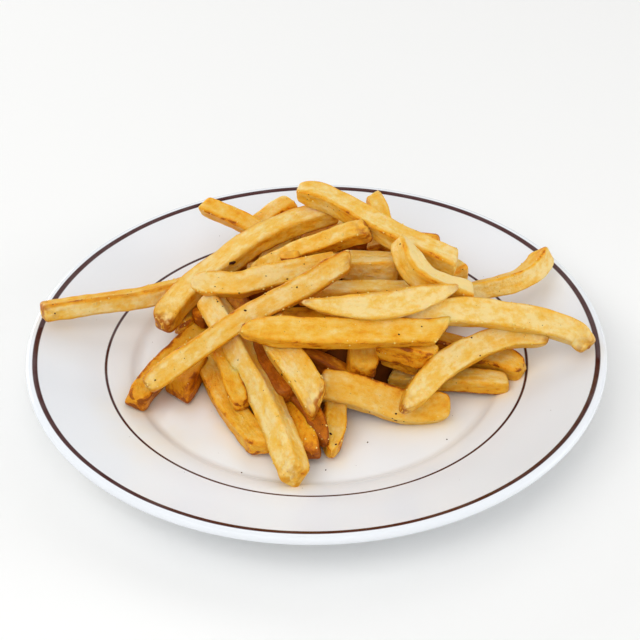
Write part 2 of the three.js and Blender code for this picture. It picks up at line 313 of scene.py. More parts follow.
def tip(share=0.8, reach=3, power=2, deep=None, cut=(0, 0), scorch=1.0):
    # how an end narrows: share of the width left, over what length, straight (1) or round (2),
    # share of the depth left, the slant of the cut sideways and upright, and how browned it is
    return {"share": share, "reach": reach, "power": power,
            "deep": max(share, 0.6) if deep is None else deep, "cut": cut, "scorch": scorch}


def stick(course, wide=9, deep=8.5, turn=0, start=tip(), end=tip(), tone=0.5, brown=0.4,
          faces=(-0.14, 0, -0.14, -0.2)):
    # a course in mm from the free end, widths and depths along it, roll in degrees, both ends,
    # paleness (partly painted shade and light), browning, and how much paler the left, top, right
    # and under sides are, as painted side shade
    return {"course": course, "wide": listed(wide), "deep": listed(deep), "turn": listed(turn),
            "start": start, "end": end, "tone": tone, "brown": brown, "faces": faces}


onTheFloor = [
    stick([(-70, -33.5, 14), (-66, -22, 13), (-60, -8, 12), (-46, 14, 13)], 9.3, 8.5, 20,
        tip(0.5, 6, cut=(10, 0)), tone=0.34, brown=0.15),
    stick([(-55, -23.5, 12), (-48, -6, 13)], (13.5, 11.5), 9, 0, tip(0.8, 4, cut=(-20, -20)),
        tone=0.36, brown=0.15),
    stick([(-20, -59, 12), (-26, -48, 12), (-34, -33, 12), (-41, -15, 12), (-44, -4, 12)], 9.5,
        8.5, -10, tip(0.65, 6, cut=(-32, 0)), tone=0.45, brown=0.15),
    stick([(5, -61.5, 11), (6, -52, 11), (6.5, -40, 12), (6.5, -22, 12)], 8.9, 8, 7,
        tip(0.15, 14, 1.6), tone=0.55),
    stick([(-2, -63.5, 12.5), (-4, -57, 13), (-9, -40, 14), (-21, -9, 14)], 9.5, 8, -10,
        tip(0.3, 8, cut=(-25, 0)), tone=0.16, brown=0.2),
    stick([(81, -18.5, 15), (74, -13, 14.5), (56, -5, 13), (36, 5, 13)], 10, 9.5, -15,
        tip(0.45, 7, scorch=0), tone=0.5, brown=0, faces=(0, 0, 0, 0)),
    stick([(75, -23, 12), (52, -20, 12), (29, -18, 12)], 7.7, 7.2, -8, tip(0.5, 6, cut=(15, 0)),
        tip(0.8, 2, cut=(20, 0)), tone=0.6),
    stick([(51, -35, 12), (43, -37, 12), (33, -38, 13.5), (24, -36, 16), (15, -34, 18),
        (1, -33, 21)], 12, 8, -38, tip(0.35, 8, cut=(-10, 0)), tone=0.54,
        faces=(0.16, 0, -0.14, -0.2)),
]
againstTheHeap = [
    stick([(26, -18, 24), (40, -24, 22)], 7, 6.5, tone=0.5),
    stick([(47, -11, 24), (63, -15, 21)], 8, 7.5, tone=0.35),
    stick([(-56, 10, 16), (-43, 31, 15), (-32, 41, 14)], 9, 9, 0, tip(0.4, 6), tone=0.4),
    stick([(-49, 11, 20), (-37, 24, 19)], 7.5, 7, tone=0.2),
    stick([(3.4, -59, 14), (0.6, -51.5, 15), (-2.5, -43.5, 16.5), (-8, -35, 18)], 7.4, 7, -10,
        tip(0.2, 10, 1.6), tone=0.08, brown=0.2),
    stick([(-10.5, -40, 21), (-14, -32, 21.5), (-18, -23, 22.5), (-22, -10, 24)], 8.5, 8, -10,
        tip(0.6, 4), tone=0.0, brown=1),
    stick([(-28, -43, 19), (-31, -34, 20.5), (-34, -22, 22), (-40, -9, 25)], 7.5, 7, -10,
        tip(0.5, 6), tone=0.45),
    stick([(17.5, -29, 23), (18, -21, 24), (21, 9, 25)], 12, 10.5, 10, tip(0.55, 6), tone=0.35),
    stick([(45, -27, 29), (34, -24, 30), (24, -20, 30)], 9, 9, 0, tip(0.45, 7, cut=(-30, 0)),
        tone=0.42, brown=0.1),
    stick([(1, -47, 23), (-4, -39, 27), (-8, -33, 30), (-13, -25, 32), (-18, -11, 35)], 11.5, 8,
        -15, tip(0.85, 3, cut=(38, 0), scorch=1.4), tone=0.64, brown=1),
    stick([(-8, -76.5, 14), (-9.3, -70, 14.5), (-13, -58, 17), (-17, -47, 19.5),
        (-21.5, -35.5, 22), (-27, -24, 24), (-33, -9, 27), (-43, 12, 30)], 10, 9.6, -48,
        tip(0.7, 5, cut=(18, -5)), tone=0.8),
]
reachingOut = [
    stick([(-110, 7, 28), (-95, 12, 27), (-83, 16, 26), (-72, 20, 25), (-60, 26.5, 24),
        (-36, 39, 21)], 7.8, 7.6, -15, tip(0.85, 2, cut=(8, 0), scorch=1.3), tone=0.76, brown=0.9,
        faces=(-0.2, -0.34, 0, -0.2)),
    stick([(-48, 67.5, 40), (-34, 60, 37.5), (-18, 52, 33)], 7.5, 8, 31,
        tip(0.7, 4, cut=(-20, 0)), tone=0.5, brown=0, faces=(0.14, 0, 0.14, 0.1)),
    stick([(-9, 71, 39), (-16, 70.5, 35.5), (-30, 63, 28)], 7, 6, -30,
        tip(0.6, 5, cut=(25, 0), scorch=0), tone=0.6, brown=0),
    stick([(24.5, 65.5, 43.5), (27.5, 57, 42), (31, 28, 34)], 7.6, 7.2, 0,
        tip(0.7, 3, cut=(25, 0)), tone=0.6),
    stick([(50.5, 25.5, 46), (34, 31, 43), (22, 33, 38)], 7, 6.5, tone=0.3),
    stick([(61, 27, 33), (44, 13, 32)], 8, 8.5, 0, tip(0.6, 4), tone=0.85, brown=0),
    stick([(96.3, 41.6, 29), (93.4, 35.2, 28.9), (88.5, 27.9, 29), (80, 20.6, 29.6),
        (67, 14.2, 30.7), (44, 5, 33)], (8, 9.2, 9, 6.5, 6), (8.5, 7.5, 7), 30,
        tip(0.6, 6, cut=(20, 0)), tone=0.84, brown=0, faces=(0, -0.42, -0.2, -0.1)),
    stick([(31.8, -49, 21), (38.9, -39, 22.6), (46, -30, 24.2), (51.3, -24.9, 24.9),
        (58.2, -20.2, 25.7), (67, -15, 26.3), (77, -11.7, 26.5), (91, -13, 26.6)],
        (9.5, 10.3, 9.8, 7.4), 8, (26, 40), tip(0.12, 15, 1.6, scorch=1.4), tip(0.4, 8),
        tone=0.78, brown=1, faces=(-0.5, 0, -0.2, -0.2)),
    stick([(32, -17, 44), (48, -15.5, 41.5), (59, -12, 39), (71, -11.5, 37), (84, -11, 33.5),
        (94, -11.5, 31), (102, -13, 28), (105.9, -17.3, 24.7)], (9.5, 10.3, 10.3, 9.5), 8.5, 42,
        end=tip(0.65, 6), tone=0.85, brown=0.9),
]
onTop = [
    stick([(56, 18, 42), (42, 20, 41), (30, 22, 36)], 10, 10, 10, tone=0.5),
    stick([(-28.5, -25.5, 41), (-23.5, -25, 41), (-15, -26.5, 41.5), (-6, -27, 41.5),
        (5, -28.5, 42), (17, -27.5, 41), (32, -26, 40), (42, -24, 38.2), (48.8, -21.6, 37)],
        (10.5, 10, 9.5), (9.5, 8.5), 34, tip(0.12, 18, 1.8), tip(0.85, 3, cut=(44, -10)),
        tone=0.5),
    stick([(-7, 3, 38.6), (38, 2, 38.6)], 8, 8, tone=0.6),
    stick([(11, 16.5, 40.8), (33, 14, 41.8)], 10, 11.5, -2, tone=0.78, faces=(-0.14, 0, 0, -0.2)),
    stick([(-49, 12, 38), (-43, 10, 38.5), (-37, 8.5, 39.5), (-30, 7, 40), (-24, 8.5, 41),
        (-14, 12, 41.4), (-2, 13.8, 42.6), (9, 15.5, 43.8)], (9.6, 9.5), (7.5, 8), 42,
        tip(0.3, 10), tone=0.7),
    stick([(-62, 3, 22.5), (-58.5, 12, 24.5), (-49, 23.5, 29), (-37, 32, 34), (-25.5, 39, 39),
        (-13, 44.5, 42.5), (9, 49, 48)], (11, 10), (8.6, 8), 2,
        tip(0.3, 8, cut=(-15, 0), scorch=2.2), tone=0.68, brown=1, faces=(-0.2, 0, -0.22, -0.2)),
    stick([(-26, 26, 33), (-18, 26.5, 36.5), (-8, 27, 41.3), (2, 26.5, 45.6), (12.3, 25.8, 50.4),
        (21.8, 23.4, 54.2)], (7, 7.8, 8), 7.6, 28, tip(0.35, 10),
        tip(0.9, 2, cut=(-15, 0), scorch=1.6), tone=0.5, brown=1),
    stick([(-14, 23.5, 41.5), (-10, 22.5, 42.2), (-5.5, 22.5, 42.6)], 4.6, 4.5, 25, tip(0.3, 4),
        tip(0.5, 3), tone=0.4, brown=0.7),
    stick([(-65, -33.5, 22), (-49, -23.5, 28.5), (-36.5, -16, 33.5), (-26, -11.5, 38),
        (-14, -8, 43), (-2.5, -4, 47.5), (7, 0.5, 51.5), (14, 2.5, 54)], 8.8, 8.3, 44,
        tip(0.55, 7), tip(0.7, 3, cut=(25, 0)), tone=0.72, brown=0.7,
        faces=(-0.4, 0, -0.32, -0.2)),
    stick([(-7, 50.5, 56), (1, 48, 56), (11, 41, 55), (25, 28, 53), (38, 18, 51),
        (55.5, 6.5, 48.5)], (8.5, 9, 9.5), 8.7, 8, tip(0.45, 9, 1.8), tip(0.85, 3, cut=(-20, 0)),
        tone=0.64, brown=0.15, faces=(-0.14, 0, -0.12, -0.2)),
    stick([(32.5, 12, 57), (36, 4, 54), (40.5, -3.5, 50.5), (49, -5.5, 46), (60, -4, 41)],
        (9.3, 9.3, 9), 9.3, (-40, -10, 12), tip(0.15, 12, 1.7), tone=0.92, brown=0.15,
        faces=(0, 0, -0.42, -0.2)),
    stick([(-5, -19.5, 50), (5, -22.5, 50.5), (16, -24, 51), (24, -23.5, 51), (32, -22, 51),
        (40, -18.5, 51), (46, -15.5, 50.5), (54.5, -10.5, 50)], 10.2, 5, 45,
        tip(0.06, 30, 1.5, deep=0.7, scorch=1.5), tip(0.06, 22, 1.4, deep=0.7), tone=0.83,
        brown=0.9, faces=(-0.3, 0, -0.14, -0.2)),
]
onTheFarSide = [
    stick([(-36, 24, 11), (-29, 45, 12), (-20, 68, 12)], tone=0.4),
    stick([(-14, 40, 12), (-11, 57, 12), (-8, 80, 15)], tone=0.6),
    stick([(10, 35, 12), (15, 54, 12), (20, 72, 13)], 10, 9.5, tone=0.5),
    stick([(31, 28, 12), (37, 44, 12), (45, 59, 12)], tone=0.35),
    stick([(40, 14, 12), (56, 26, 12), (68, 37, 12)], 8.5, 8, tone=0.6),
    stick([(-8, 80, 16), (14, 82, 16), (34, 77, 16)], tone=0.7),
    stick([(-34, 50, 20), (4, 55, 20), (40, 50, 20)], 9.5, 9, 10, tone=0.4),
    stick([(-28, 63, 21), (8, 68, 20), (40, 60, 20)], tone=0.65),
    stick([(-46, 38, 18), (-37, 51, 18), (-28, 66, 19)], tone=0.45),
    stick([(-32, 44, 28), (-23, 57, 25), (-14, 74, 20)], tone=0.7),
    stick([(-24, 28, 27), (-17, 46, 27), (-10, 62, 27)], 8.5, 8, tone=0.5),
    stick([(2, 28, 29), (6, 48, 28), (10, 72, 25)], tone=0.75),
    stick([(22, 24, 30), (30, 42, 28), (40, 60, 24)], tone=0.6),
    stick([(50, 14, 22), (54, 30, 22), (52, 44, 18)], tone=0.4),
    stick([(35, 36, 30), (46, 49, 25), (55, 60, 18)], tone=0.7),
    stick([(40, 22, 26), (53, 34, 22), (62, 44, 18)], tone=0.5),
    stick([(-10, 58, 28), (14, 62, 28), (38, 56, 27)], turn=10, tone=0.7),
    stick([(-16, 56, 34), (-5, 67, 30), (8, 77, 24)], tone=0.8),
    stick([(18, 50, 37), (21, 62, 34), (24, 74, 29)], tone=0.6),
    stick([(-6, 50, 33), (8, 52, 33), (24, 48, 33)], turn=10, tone=0.15),
    stick([(55, 18, 11), (47, 21, 12), (36, 24, 14)], tone=0.4),
    stick([(-60, 30, 14), (-46, 28, 15), (-30, 24, 17)], tone=0.5),
]
# fries deep in the heap: most are painted dark and get weaker painted side shade, as painted shade
# in the gaps
dimSideShade = (-0.04, 0, -0.04, -0.1)
onTheMound = [
    stick([(-22, 0, 26), (4, -2, 27), (24, -4, 26)], 10, 9.5, tone=0.13, faces=dimSideShade),
    stick([(-28, 20, 30), (-4, 22, 32), (20, 25, 33)], 10, 9.5, tone=0.15, faces=dimSideShade),
    stick([(-16, 30, 28), (-14, 10, 28), (-12, -8, 25)], tone=0.13, faces=dimSideShade),
    stick([(14, 34, 32), (16, 14, 33), (14, -8, 31)], tone=0.13, faces=dimSideShade),
    stick([(38, 36, 27), (40, 20, 29), (42, 6, 27)], tone=0.15, faces=dimSideShade),
    stick([(-34, 20, 24), (-28, 6, 24), (-24, -6, 23)], tone=0.13, faces=dimSideShade),
    stick([(-9, -18, 24), (3, -22, 21.5), (13, -27, 18.5)], 8, 7.5, -12, tone=0.12,
        faces=dimSideShade),
    stick([(-28, 35, 25), (-13, 39, 26), (0, 42, 24)], tone=0.4),
    stick([(9, 45, 24), (19, 40, 26), (29, 37, 25)], tone=0.5),
    stick([(-14, -15, 24), (0, -12, 26), (14, -8, 26.5)], 9, 8, 10, tone=0.13, faces=dimSideShade),
    stick([(26, -15, 20), (30, -3, 23), (33, 9, 25)], 9, 8, tone=0.1, faces=dimSideShade),
]


def smoothCourse(points, spacing):
    # a centripetal curve through the points: places, directions and distances of the rings, length
    points = np.array(points, float)
    spread = np.vstack([2 * points[0] - points[1], points, 2 * points[-1] - points[-2]])
    fine = [points[:1]]
    t = np.linspace(0, 1, 33)[1:, None]
    for before, here, there, beyond in zip(spread, spread[1:], spread[2:], spread[3:]):
        first, gap, last = (math.sqrt(np.linalg.norm(b - a))
                            for a, b in ((before, here), (here, there), (there, beyond)))
        straight = (there - here) / gap
        leave = (here - before) / first - (there - before) / (first + gap) + straight
        arrive = straight - (beyond - here) / (gap + last) + (beyond - there) / last
        fine.append(here * (2 * t**3 - 3 * t**2 + 1) + leave * gap * (t**3 - 2 * t**2 + t)
                    + there * (3 * t**2 - 2 * t**3) + arrive * gap * (t**3 - t**2))
    fine = np.vstack(fine)
    along = np.r_[0, np.cumsum(np.linalg.norm(np.diff(fine, axis=0), axis=1))]
    length = along[-1]
    close, reach = np.array(fries["closeRings"]), fries["closeReach"]
    rings = max(2, round((length - 2 * reach) / spacing))
    stations = np.r_[close, np.linspace(reach, length - reach, rings), length - close[::-1]]
    places = np.stack([np.interp(stations, along, fine[:, k]) for k in range(3)], 1)
    ahead = np.gradient(places, stations, axis=0)
    return places, ahead / np.linalg.norm(ahead, axis=1)[:, None], stations, length


def narrowing(distance, share, reach, power):
    back = np.clip(1 - distance / reach, 0, 1)
    return share + (1 - share) * (1 - back**power) ** (1 / power)


def alongIt(values, share):
    return np.interp(share, np.linspace(0, 1, len(values)), values)


def halvesAlong(row, stations, length, phase):
    # half the width and half the depth at each ring
    back = np.clip(1 - np.minimum(stations, length - stations) / fries["endRound"], 0, 1)
    rounding = fries["endRound"] * (1 - np.sqrt(1 - back**2))
    amount, size, apart = fries["sway"]
    halves = []
    for k, (across, left) in enumerate((("wide", "share"), ("deep", "deep"))):
        sway = np.array([noise.noise((phase + k * apart, s / size, 0)) for s in stations])
        half = alongIt(row[across], stations / length) / 2 * (1 + amount * sway)
        for end, distance in ((row["start"], stations), (row["end"], length - stations)):
            half = half * narrowing(distance, end[left], end["reach"], end["power"])
        halves.append(np.maximum(half - rounding, fries["thinnest"]))
    return halves


def sectionPlan(steps, flats):
    # once round a squared section: corner number, arc angle, and how far along each flat side
    plan = []
    for corner in range(4):
        for i in range(steps + 1):
            plan.append((corner, math.radians(90 * corner + 90 * i / steps), None))
        for i in range(1, flats + 1):
            plan.append((corner, None, i / (flats + 1)))
    return plan


def sectionColumns(plan, halfWide, halfDeep, chance, sides, sinking):
    # where the points round the section lie at every ring, how crisp each column is, and how pale,
    # which carries its side's painted shade
    signs = ((1, 1), (-1, 1), (-1, -1), (1, -1))

    def cornerPoint(corner, angle):
        most = np.minimum(halfWide, halfDeep) * fries["cornerShare"]
        radius = np.minimum(chance["cornerRadius"][corner], most)
        signX, signY = signs[corner]
        return (signX * (halfWide - radius) + radius * math.cos(angle),
                signY * (halfDeep - radius) + radius * math.sin(angle))

    across, upward, crisp, sideToneAndShade = [], [], [], []
    for corner, angle, flat in plan:
        after = (corner + 1) % 4
        if angle is not None:
            x, y = cornerPoint(corner, angle)
            arcEnd = angle in (math.radians(90 * corner), math.radians(90 * corner + 90))
            crisp.append(chance["crispness"][corner] * (fries["arcEndCrisp"] if arcEnd else 1))
            past = angle / math.radians(90) - corner
            sideToneAndShade.append(sides[corner] * (1 - past) + sides[after] * past)
        else:
            outward = math.radians(90 * after)
            x0, y0 = cornerPoint(corner, outward)
            x1, y1 = cornerPoint(after, outward)
            dip = chance["sink"][corner] * 4 * flat * (1 - flat) * sinking
            x = x0 + (x1 - x0) * flat - math.cos(outward) * dip
            y = y0 + (y1 - y0) * flat - math.sin(outward) * dip
            crisp.append(0)
            sideToneAndShade.append(sides[after])
        across.append(x)
        upward.append(y)
    return np.stack(across, 1), np.stack(upward, 1), np.array(crisp), np.array(sideToneAndShade)


def rolled(ahead, roll):
    # which way sideways and upright point at each ring, turned about the course
    side = np.cross((0, 0, 1), ahead)
    side /= np.linalg.norm(side, axis=1)[:, None]
    top = np.cross(ahead, side)
    cosine, sine = np.cos(roll)[:, None], np.sin(roll)[:, None]
    return side * cosine + top * sine, top * cosine - side * sine


def slantOf(end, distance, across, upward):
    # how far a slanted cut moves each point along the fry, fading out behind the end
    sideways, upright = (math.tan(math.radians(angle)) for angle in end["cut"])
    fade, wide, deep = fries["slant"]
    reach = fade * (abs(sideways) * wide + abs(upright) * deep) + 0.01
    slope = across * sideways + upward * upright
    return slope * (1 - np.clip(distance / reach, 0, 1))[:, None]


def reliefAt(x, y, s, phase):
    # lumps, ripples and lengthwise grain, each moved by the phase along another axis
    depth = 0.0
    for k, (height, broad, long) in enumerate(fries["relief"]):
        moved = [phase if k == axis else 0 for axis in range(3)]
        point = (x / broad + moved[0], y / broad + moved[1], s / long + moved[2])
        depth += height * noise.noise(point)
    return depth


def addPoints(shape, vertices, local, edge, tone, scorch):
    # adds points with what their skin is painted by, and returns their numbers
    first, count = sum(len(block) for block in shape["vertices"]), len(vertices)
    shape["vertices"].append(vertices)
    shape["local"].append(local)
    for key, value in (("edge", edge), ("tone", tone), ("scorch", scorch)):
        shape[key].append(np.full(count, value))
    return np.arange(first, first + count)


def bridge(shape, outer, inner, flip=False):
    # faces from one ring of points to the next, or to a single middle point
    columns = [outer, np.roll(outer, -1)]
    columns += [np.roll(inner, -1), inner] if len(inner) > 1 else [np.repeat(inner, len(outer))]
    faces = np.stack(columns[::-1] if flip else columns, 1)
    shape["faces"] += [tuple(face) for face in faces.tolist()]


def shapeStick(row, number, spacing, steps):
    # one fry: rings of points from its free end to its hidden end, closed by two cut faces
    rng = random.Random(fries["seed"] * 1000 + number)
    phase = rng.uniform(0, 100)
    chance = {key: [rng.uniform(*fries[key]) for _ in range(4)]
              for key in ("cornerRadius", "sink", "crispness", "faceTone")}
    baseTone = row["tone"] + rng.uniform(*fries["toneShift"])
    twist = fries["twist"] * rng.uniform(-1, 1)

    centres, ahead, stations, length = smoothCourse(row["course"], spacing)
    ends = ((row["start"], stations, -1), (row["end"], length - stations, 1))
    plan = sectionPlan(*steps)
    rings, around = len(stations), len(plan)
    halfWide, halfDeep = halvesAlong(row, stations, length, phase)
    # each side's paleness: the row's painted side shade plus a random change
    sides = [row["faces"][k] + chance["faceTone"][k] for k in range(4)]
    sinking = np.clip(np.minimum(stations, length - stations) / fries["sinkReach"], 0, 1)
    across, upward, crisp, sideToneAndShade = sectionColumns(plan, halfWide, halfDeep, chance, sides, sinking)
    share = stations / length
    side, top = rolled(ahead, np.radians(alongIt(row["turn"], share) + twist * (share - 0.5)))
    shift = sum(sign * slantOf(end, distance, across, upward) for end, distance, sign in ends)

    away = np.hypot(across, upward) + 1e-6
    depth = np.zeros_like(across)
    for i in range(rings):
        for j in range(around):
            depth[i, j] = reliefAt(across[i, j], upward[i, j], stations[i], phase)
    across = across + across / away * depth
    upward = upward + upward / away * depth

    def pushed(directions, amounts):
        return directions[:, None, :] * amounts[:, :, None]

    body = centres[:, None, :] + pushed(side, across) + pushed(top, upward) + pushed(ahead, shift)
    patternShift = phase * fries["placeShift"]
    alongLocal = np.repeat(stations[:, None], around, 1) + patternShift
    tone = np.tile(baseTone + sideToneAndShade, (rings, 1))
    scorch = sum(end["scorch"] * np.exp(-distance / fries["scorchReach"])
                 for end, distance, _ in ends)
    shape = {key: [] for key in ("vertices", "local", "edge", "tone", "scorch", "faces")}
    numbers = addPoints(shape, body.reshape(-1, 3),
                        np.stack([across, upward, alongLocal], 2).reshape(-1, 3),
                        np.tile(crisp, rings), tone.reshape(-1), np.repeat(scorch, around))
    numbers = numbers.reshape(rings, around)
    for outer, inner in zip(numbers, numbers[1:]):
        bridge(shape, outer, inner)

    # cut faces at both ends: rings that shrink to a middle point
    heartTone = row["tone"] - fries["capDarker"]
    for ring, (end, _, bulge) in zip((0, rings - 1), ends):
        rim, outer, forward = body[ring], numbers[ring], ahead[ring]
        middle, station = rim.mean(axis=0), stations[ring] + patternShift
        for shrink in fries["capRings"]:
            bump = fries["capBulge"] * (1 - shrink) + rng.uniform(*fries["capUneven"])
            points = middle + (rim - middle) * shrink + forward * bump * bulge
            rough = [noise.noise(tuple(p / fries["capGrain"] + phase)) for p in points]
            points += np.array(rough)[:, None] * fries["capRough"] * forward
            alongCap = np.full(around, station + bulge * (1 - shrink) * fries["capPlace"])
            local = np.stack([across[ring] * shrink, upward[ring] * shrink, alongCap], 1)
            capTone = tone[ring] * shrink + heartTone * (1 - shrink)
            inner = addPoints(shape, points, local, 0.0, capTone, end["scorch"])
            bridge(shape, outer, inner, flip=bulge < 0)
            outer = inner
        heart = (middle + forward * fries["capTop"] * bulge)[None]
        local = np.array([[0, 0, station + bulge * fries["capPlace"]]])
        inner = addPoints(shape, heart, local, 0.0, heartTone, end["scorch"])
        bridge(shape, outer, inner, flip=bulge < 0)

    for key in ("vertices", "local", "edge", "scorch", "tone"):
        shape[key] = np.concatenate(shape[key])
    shape["tone"] = np.clip(shape["tone"], 0, 1)
    shape.update(grid=body, brown=row["brown"],
                 isCorner=[angle is not None for _, angle, _ in plan])
    return shape


def joinedMesh(name, shapes):
    vertices, faces, count = [], [], 0
    for shape in shapes:
        vertices.append(shape["vertices"])
        faces += [tuple(v + count for v in face) for face in shape["faces"]]
        count += len(shape["vertices"])
    mesh = bpy.data.meshes.new(name)
    mesh.from_pydata((np.vstack(vertices) * mm).tolist(), [], faces)
    mesh.shade_smooth()
    joined = bpy.data.objects.new(name, mesh)
    bpy.context.collection.objects.link(joined)
    return joined


def paintLayer(piece, name, kind, field, values):
    layer = piece.data.attributes.new(name, kind, "POINT")
    layer.data.foreach_set(field, values.astype(np.float32).ravel())


def fryShade(shapes):
    # paleness, corner crispness, nearness to a browned end, browning
    columns = []
    for shape in shapes:
        brown = np.full(len(shape["vertices"]), shape["brown"])
        columns.append(np.stack([shape["tone"], shape["edge"], shape["scorch"], brown], 1))
    return np.vstack(columns)


def fryMaterial():
    material, tree, shader = newMaterial("friedPotato")
    shade = addNode(tree, "ShaderNodeAttribute", attribute_name="fryShade").outputs
    place = addNode(tree, "ShaderNodeAttribute", attribute_name="fryPlace").outputs["Vector"]
    tone, crisp, scorch = addNode(tree, "ShaderNodeSeparateColor", {0: shade["Color"]}).outputs
    brown = shade["Alpha"]

    def stretched(along):
        vectors = {0: place, 1: (1, 1, along)}
        return addNode(tree, "ShaderNodeVectorMath", vectors, operation="MULTIPLY").outputs[0]

    def times(first, second):
        return maths(tree, "MULTIPLY", first, second)

    # paleness, uneven in several sizes of noise, and the relief that goes with it
    uneven, relief, textures = 0.0, 0.0, {}
    for name, (stretch, scale, detail, rough, change, height) in fries["noise"].items():
        texture = noiseOf(tree, stretched(stretch), scale, detail, rough)
        uneven = maths(tree, "ADD", uneven, remap(tree, texture, 0.3, 0.7, -change, change))
        relief = maths(tree, "ADD", relief, times(texture, height))
        textures[name] = texture
    uneven = maths(tree, "ADD", uneven, remap(tree, crisp, 0.3, 0.7, *fries["crispTone"]))
    quietBelow, quiet = fries["quietTone"]
    uneven = times(uneven, remap(tree, tone, 0.0, quietBelow, quiet, 1.0))
    level = maths(tree, "ADD", tone, uneven)
    # painted shade and glow: faces looking down or sideways are painted deeper gold, upward faces a
    # little paler
    facingShade = remap(tree, upwardOf(tree), *fries["facingShadeTone"])
    skin = rampOf(tree, maths(tree, "ADD", level, facingShade, clamp=True), fries["skin"])

    # browned corners and ends
    stretch, scale, low, high = fries["linePatch"]
    patch = remap(tree, noiseOf(tree, stretched(stretch), scale, 3, 0.6), low, high)
    corners = times(times(remap(tree, crisp, *fries["cornerLine"]), brown), patch)
    scale, low, high = fries["endPatch"]
    ends = times(times(scorch, brown), remap(tree, noiseOf(tree, place, scale, 2), low, high))
    endCorners = times(times(scorch, crisp), brown)
    browning = times(corners, fries["browned"]["corners"])
    for value, name in ((ends, "ends"), (endCorners, "endCorners")):
        weighed = times(value, fries["browned"][name])
        browning = maths(tree, "MAXIMUM", browning, weighed, clamp=True)
    skin = blend(tree, browning, skin, fries["crisp"])
    scale, low, high, strength = fries["freckle"]
    freckle = remap(tree, noiseOf(tree, place, scale, 1), low, high)
    skin = blend(tree, times(freckle, strength), skin, fries["burnt"])

    scale, height = fries["blister"]
    cells = {"Vector": place, "Scale": scale, "Randomness": 1.0}
    blister = addNode(tree, "ShaderNodeTexVoronoi", cells).outputs["Distance"]
    relief = maths(tree, "ADD", relief, times(blister, height))
    coat, coatRoughness = fries["coat"]
    setInputs(tree, shader, {
        "Base Color": skin,
        "Roughness": remap(tree, textures["fine"], 0.3, 0.7, *fries["roughness"]),
        "Normal": bumpOf(tree, relief, *fries["bump"]),
        "Subsurface Weight": fries["subsurface"],
        "Subsurface Radius": fries["subsurfaceRadius"],
        "Subsurface Scale": fries["subsurfaceScale"] * mm,
        "Specular IOR Level": fries["specular"],
        "Coat Weight": coat,
        "Coat Roughness": coatRoughness,
    })
    return material


shapes = [shapeStick(row, i, fries["ringStep"], fries["steps"])
          for i, row in enumerate(onTheFloor + againstTheHeap + reachingOut + onTop)]
shapes += [shapeStick(row, 100 + i, fries["farRingStep"], fries["farSteps"])
           for i, row in enumerate(onTheFarSide + onTheMound)]
heapOfFries = joinedMesh("heapOfFries", shapes)
paintLayer(heapOfFries, "fryShade", "FLOAT_COLOR", "color", fryShade(shapes))
paintLayer(heapOfFries, "fryPlace", "FLOAT_VECTOR", "vector",
           np.vstack([shape["local"] for shape in shapes]))
heapOfFries.data.materials.append(fryMaterial())
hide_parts("fries")
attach(heapOfFries, "root")
triangles = sum(len(polygon.vertices) - 2 for polygon in heapOfFries.data.polygons)
print("fries", len(shapes), "triangles", triangles)


# the mound under the fries, dark brown as painted shade for the deep gaps between them

mound = {
    "centre": (4, 12), "radius": 39, "top": 29, "foot": 7.2, "lump": 0.12, "lumpScale": 3,
    "segments": 48, "rings": 24,
    # painted shade: dark brown with darker blotches, seen deep in the gaps
    "colour": (0.17, 0.045, 0.004, 1), "gloom": (0.08, 0.02, 0.002, 1), "gloomScale": 180,
    "roughness": 0.8, "specular": 0.1,
}


def makeMound():
    bpy.ops.object.select_all(action="DESELECT")
    bpy.ops.mesh.primitive_uv_sphere_add(segments=mound["segments"], ring_count=mound["rings"],
                                         radius=1)
    core = bpy.context.object
    core.name = "heapCore"
    middleX, middleY = mound["centre"]
    height = mound["top"] - mound["foot"]
    for vertex in core.data.vertices:
        x, y, z = vertex.co
        size = mound["lumpScale"]
        lump = 1 + mound["lump"] * noise.noise((x * size, y * size, z * size))
        vertex.co.x = (middleX + x * mound["radius"] * lump) * mm
        vertex.co.y = (middleY + y * mound["radius"] * lump) * mm
        vertex.co.z = (mound["foot"] + max(0, z) * height * lump) * mm
    bpy.ops.object.shade_smooth()
    material, tree, shader = newMaterial("heapShade")
    place = addNode(tree, "ShaderNodeTexCoord").outputs["Object"]
    shadow = noiseOf(tree, place, mound["gloomScale"], 3)
    setInputs(tree, shader, {
        "Base Color": blend(tree, shadow, mound["colour"], mound["gloom"]),
        "Roughness": mound["roughness"], "Specular IOR Level": mound["specular"],
    })
    core.data.materials.append(material)
    return core


heapCore = makeMound()
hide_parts("fries")
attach(heapCore, "root")
print("mound made")


# pepper, salt and crumbs

specks = {
    # how many, and their radii in mm
    "seed": 4, "pepper": 170, "pepperSize": (0.12, 0.28), "salt": 480, "saltSize": (0.2, 0.5),
    "plateSpecks": 24, "plateSpeckSize": (0.10, 0.2),
    # share of them on the corners of the fries, flatness, and stretch
    "pepperOnCorners": 0.1, "saltOnCorners": 0.6,
    "flakeFlat": 0.4, "pepperFlat": 0.5, "saltFlat": 0.8, "pepperStretch": (0.8, 1.5),
    "uneven": (0.7, 1.2), "lift": 0.3,  # chance in the radius, and share of it above the surface
    # a spot is open if it looks up enough and nothing lies above it: start and reach in mm
    "leastUp": -0.3, "clearFrom": 0.4, "clearFor": 5,
    "plateReach": (35, 98), "plateOffset": 4,  # distances from a point in front of the middle
    "pepperColour": (0.060, 0.013, 0.004, 1), "pepperRoughness": 0.7,
    "saltColour": (0.98, 0.72, 0.20, 1), "saltRoughness": 0.5,
    "darker": 0.75, "grainScale": 900, "specular": 0.25,
}
